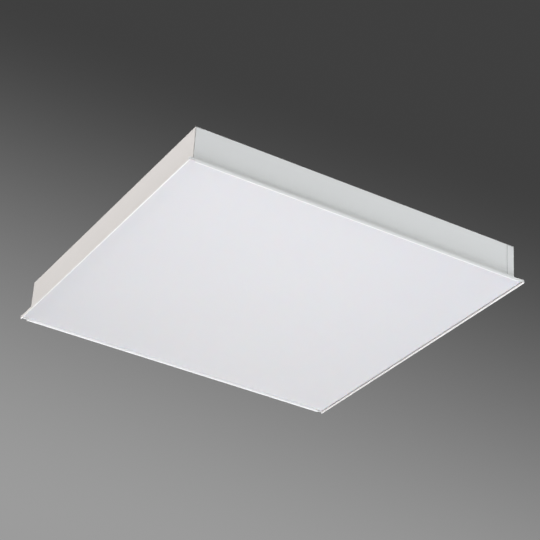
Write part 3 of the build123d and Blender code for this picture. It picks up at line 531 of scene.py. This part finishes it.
def make_board_details():
    """Diodes under the lenses, their pads, and the relief of the tracks, board by board."""
    package = moulded("diode_package", (0.80, 0.79, 0.74), 0.35)
    glow, tin = phosphor(), tinned_copper()
    mask = SLOT_MATERIALS["circuit_white"]
    for row in range(1, ROWS + 1):
        centres = lens_centres(row)
        chips = bmesh.new()
        for centre in centres:
            add_chip(chips, centre)
        add_piece(f"diodes_{row}", chips, (package, glow), "housing")

        low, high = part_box(f"led_board_{row}")
        middle = Vector(((low[0] + high[0]) / 2, (low[1] + high[1]) / 2, low[2]))
        length = high[0] - low[0] - 2 * TRACK_MARGIN
        tracks = bmesh.new()
        for side in (-1, 1):
            add_slab(tracks, middle + Vector((0, side * TRACK_PLACE, 0)), length, TRACK_WIDTH, MASK)
            for centre in centres:
                foot = centre + Vector((side * (CHIP_LENGTH + PAD_LENGTH) / 2, 0, 0))
                add_slab(tracks, foot, PAD_LENGTH, PAD_WIDTH, TIN)
                between = centre + Vector((TEST_PAD_PLACE, side * TRACK_PLACE / 2, 0))
                add_disc(tracks, between, TEST_PAD_RADIUS, TIN)
        add_piece(f"board_tracks_{row}", tracks, (mask, tin), "housing")


# ---------------------------------------------------------- studio
FLOOR_DEPTH = -3.6
FLOOR_REACH = 30.0
FLOOR_TONES = (0.78, 0.81)
FLOOR_LIFT = 0.42                       # how much paler the camera sees it

# background: from dark to light along a slanted line of the photograph
BACKGROUND_SLANT = 0.34
BACKGROUND_DARK, BACKGROUND_LIGHT = 0.0504, 0.3325
BACKGROUND_FROM, BACKGROUND_TO = -0.0965, 0.173
FILL = 0.29                             # even light from all round

# name, place, diameter, watts, colour
LIGHTS = [
    ("left_light", (-3.2, -0.1, -0.32), 0.7, 46.5, (1.00, 0.93, 0.90)),
    ("front_light", (0.9, -3.2, -0.3), 0.7, 29.8, (0.92, 0.98, 1.00)),
    ("right_low_light", (1.9, -0.9, -1.7), 1.6, 17.5, (0.82, 0.87, 1.00)),
    ("right_light", (2.4, 0.3, -1.2), 1.6, 8.5, (1.00, 0.94, 0.90)),
    ("under_light", (-0.6, -1.0, -2.0), 2.2, 32.4, (0.95, 0.95, 1.00)),
    ("rear_low_light", (1.0, 2.0, -1.3), 1.2, 4.8, (1.00, 0.95, 0.80)),
    ("top_light", (0.3, 0.2, 3.0), 2.4, 36.0, (1.00, 1.00, 1.00)),
]


def make_floor():
    mesh = bpy.data.meshes.new("floor")
    corners = [(x, y, FLOOR_DEPTH) for x, y in rectangle(2 * FLOOR_REACH, 2 * FLOOR_REACH)]
    mesh.from_pydata(corners, [], [(0, 1, 2, 3)])
    floor = bpy.data.objects.new("floor", mesh)
    bpy.context.scene.collection.objects.link(floor)
    m = Material("floor", 0.7, Emission_Color=(1, 1, 1, 1))
    pale, paler = ((tone,) * 3 for tone in FLOOR_TONES)
    m.tone(pale, paler, scale=0.8)
    seen = m.tree.nodes.new("ShaderNodeLightPath").outputs["Is Camera Ray"]
    m.link(m.math("MULTIPLY", seen, FLOOR_LIFT), m.shader.inputs["Emission Strength"])
    mesh.materials.append(m.material)


def make_area_light(name, place, size, power, colour):
    """A disc of light aimed at the luminaire, which the camera doesn't see."""
    data = bpy.data.lights.new(name, "AREA")
    data.shape = "DISK"
    data.size = size
    data.energy = power
    data.color = colour
    lamp = bpy.data.objects.new(name, data)
    lamp.location = place
    lamp.rotation_euler = (-Vector(place)).to_track_quat("-Z", "Y").to_euler()
    lamp.visible_camera = False
    bpy.context.scene.collection.objects.link(lamp)


def graded_background(tree):
    """The background's grey, by the direction that a ray takes."""
    right, down, _ = camera_axes()
    slope = tree.nodes.new("ShaderNodeVectorMath")
    slope.operation = "DOT_PRODUCT"
    slope.inputs[1].default_value = (down - BACKGROUND_SLANT * right).normalized()
    direction = tree.nodes.new("ShaderNodeTexCoord").outputs["Generated"]
    tree.links.new(direction, slope.inputs[0])
    graded = tree.nodes.new("ShaderNodeMapRange")
    graded.interpolation_type = "SMOOTHSTEP"
    graded.inputs["From Min"].default_value = BACKGROUND_FROM
    graded.inputs["From Max"].default_value = BACKGROUND_TO
    graded.inputs["To Min"].default_value = BACKGROUND_DARK
    graded.inputs["To Max"].default_value = BACKGROUND_LIGHT
    tree.links.new(slope.outputs["Value"], graded.inputs["Value"])
    return graded.outputs["Result"]


def seen_directly(tree):
    """1 for the rays that show the background: the camera's, in gloss, and through glass."""
    rays = tree.nodes.new("ShaderNodeLightPath")
    direct = rays.outputs["Is Camera Ray"]
    for kind in ("Is Glossy Ray", "Is Transmission Ray"):
        either = tree.nodes.new("ShaderNodeMath")
        either.operation = "MAXIMUM"
        tree.links.new(direct, either.inputs[0])
        tree.links.new(rays.outputs[kind], either.inputs[1])
        direct = either.outputs[0]
    return direct


def make_world():
    """Even fill light, with the graded background for whatever sees it directly."""
    world = bpy.data.worlds.new("studio")
    bpy.context.scene.world = world
    world.use_nodes = True
    tree = world.node_tree
    tree.nodes.clear()
    seen = tree.nodes.new("ShaderNodeBackground")
    tree.links.new(graded_background(tree), seen.inputs["Color"])
    fill = tree.nodes.new("ShaderNodeBackground")
    fill.inputs["Strength"].default_value = FILL
    fill.inputs["Color"].default_value = (1, 1, 1, 1)
    mix = tree.nodes.new("ShaderNodeMixShader")
    tree.links.new(seen_directly(tree), mix.inputs["Fac"])
    tree.links.new(fill.outputs[0], mix.inputs[1])
    tree.links.new(seen.outputs[0], mix.inputs[2])
    out = tree.nodes.new("ShaderNodeOutputWorld")
    tree.links.new(mix.outputs[0], out.inputs["Surface"])


make_camera()
dress_nodes()
make_board_details()
make_floor()
for light in LIGHTS:
    make_area_light(*light)
make_world()

bpy.context.scene.view_settings.view_transform = "Standard"
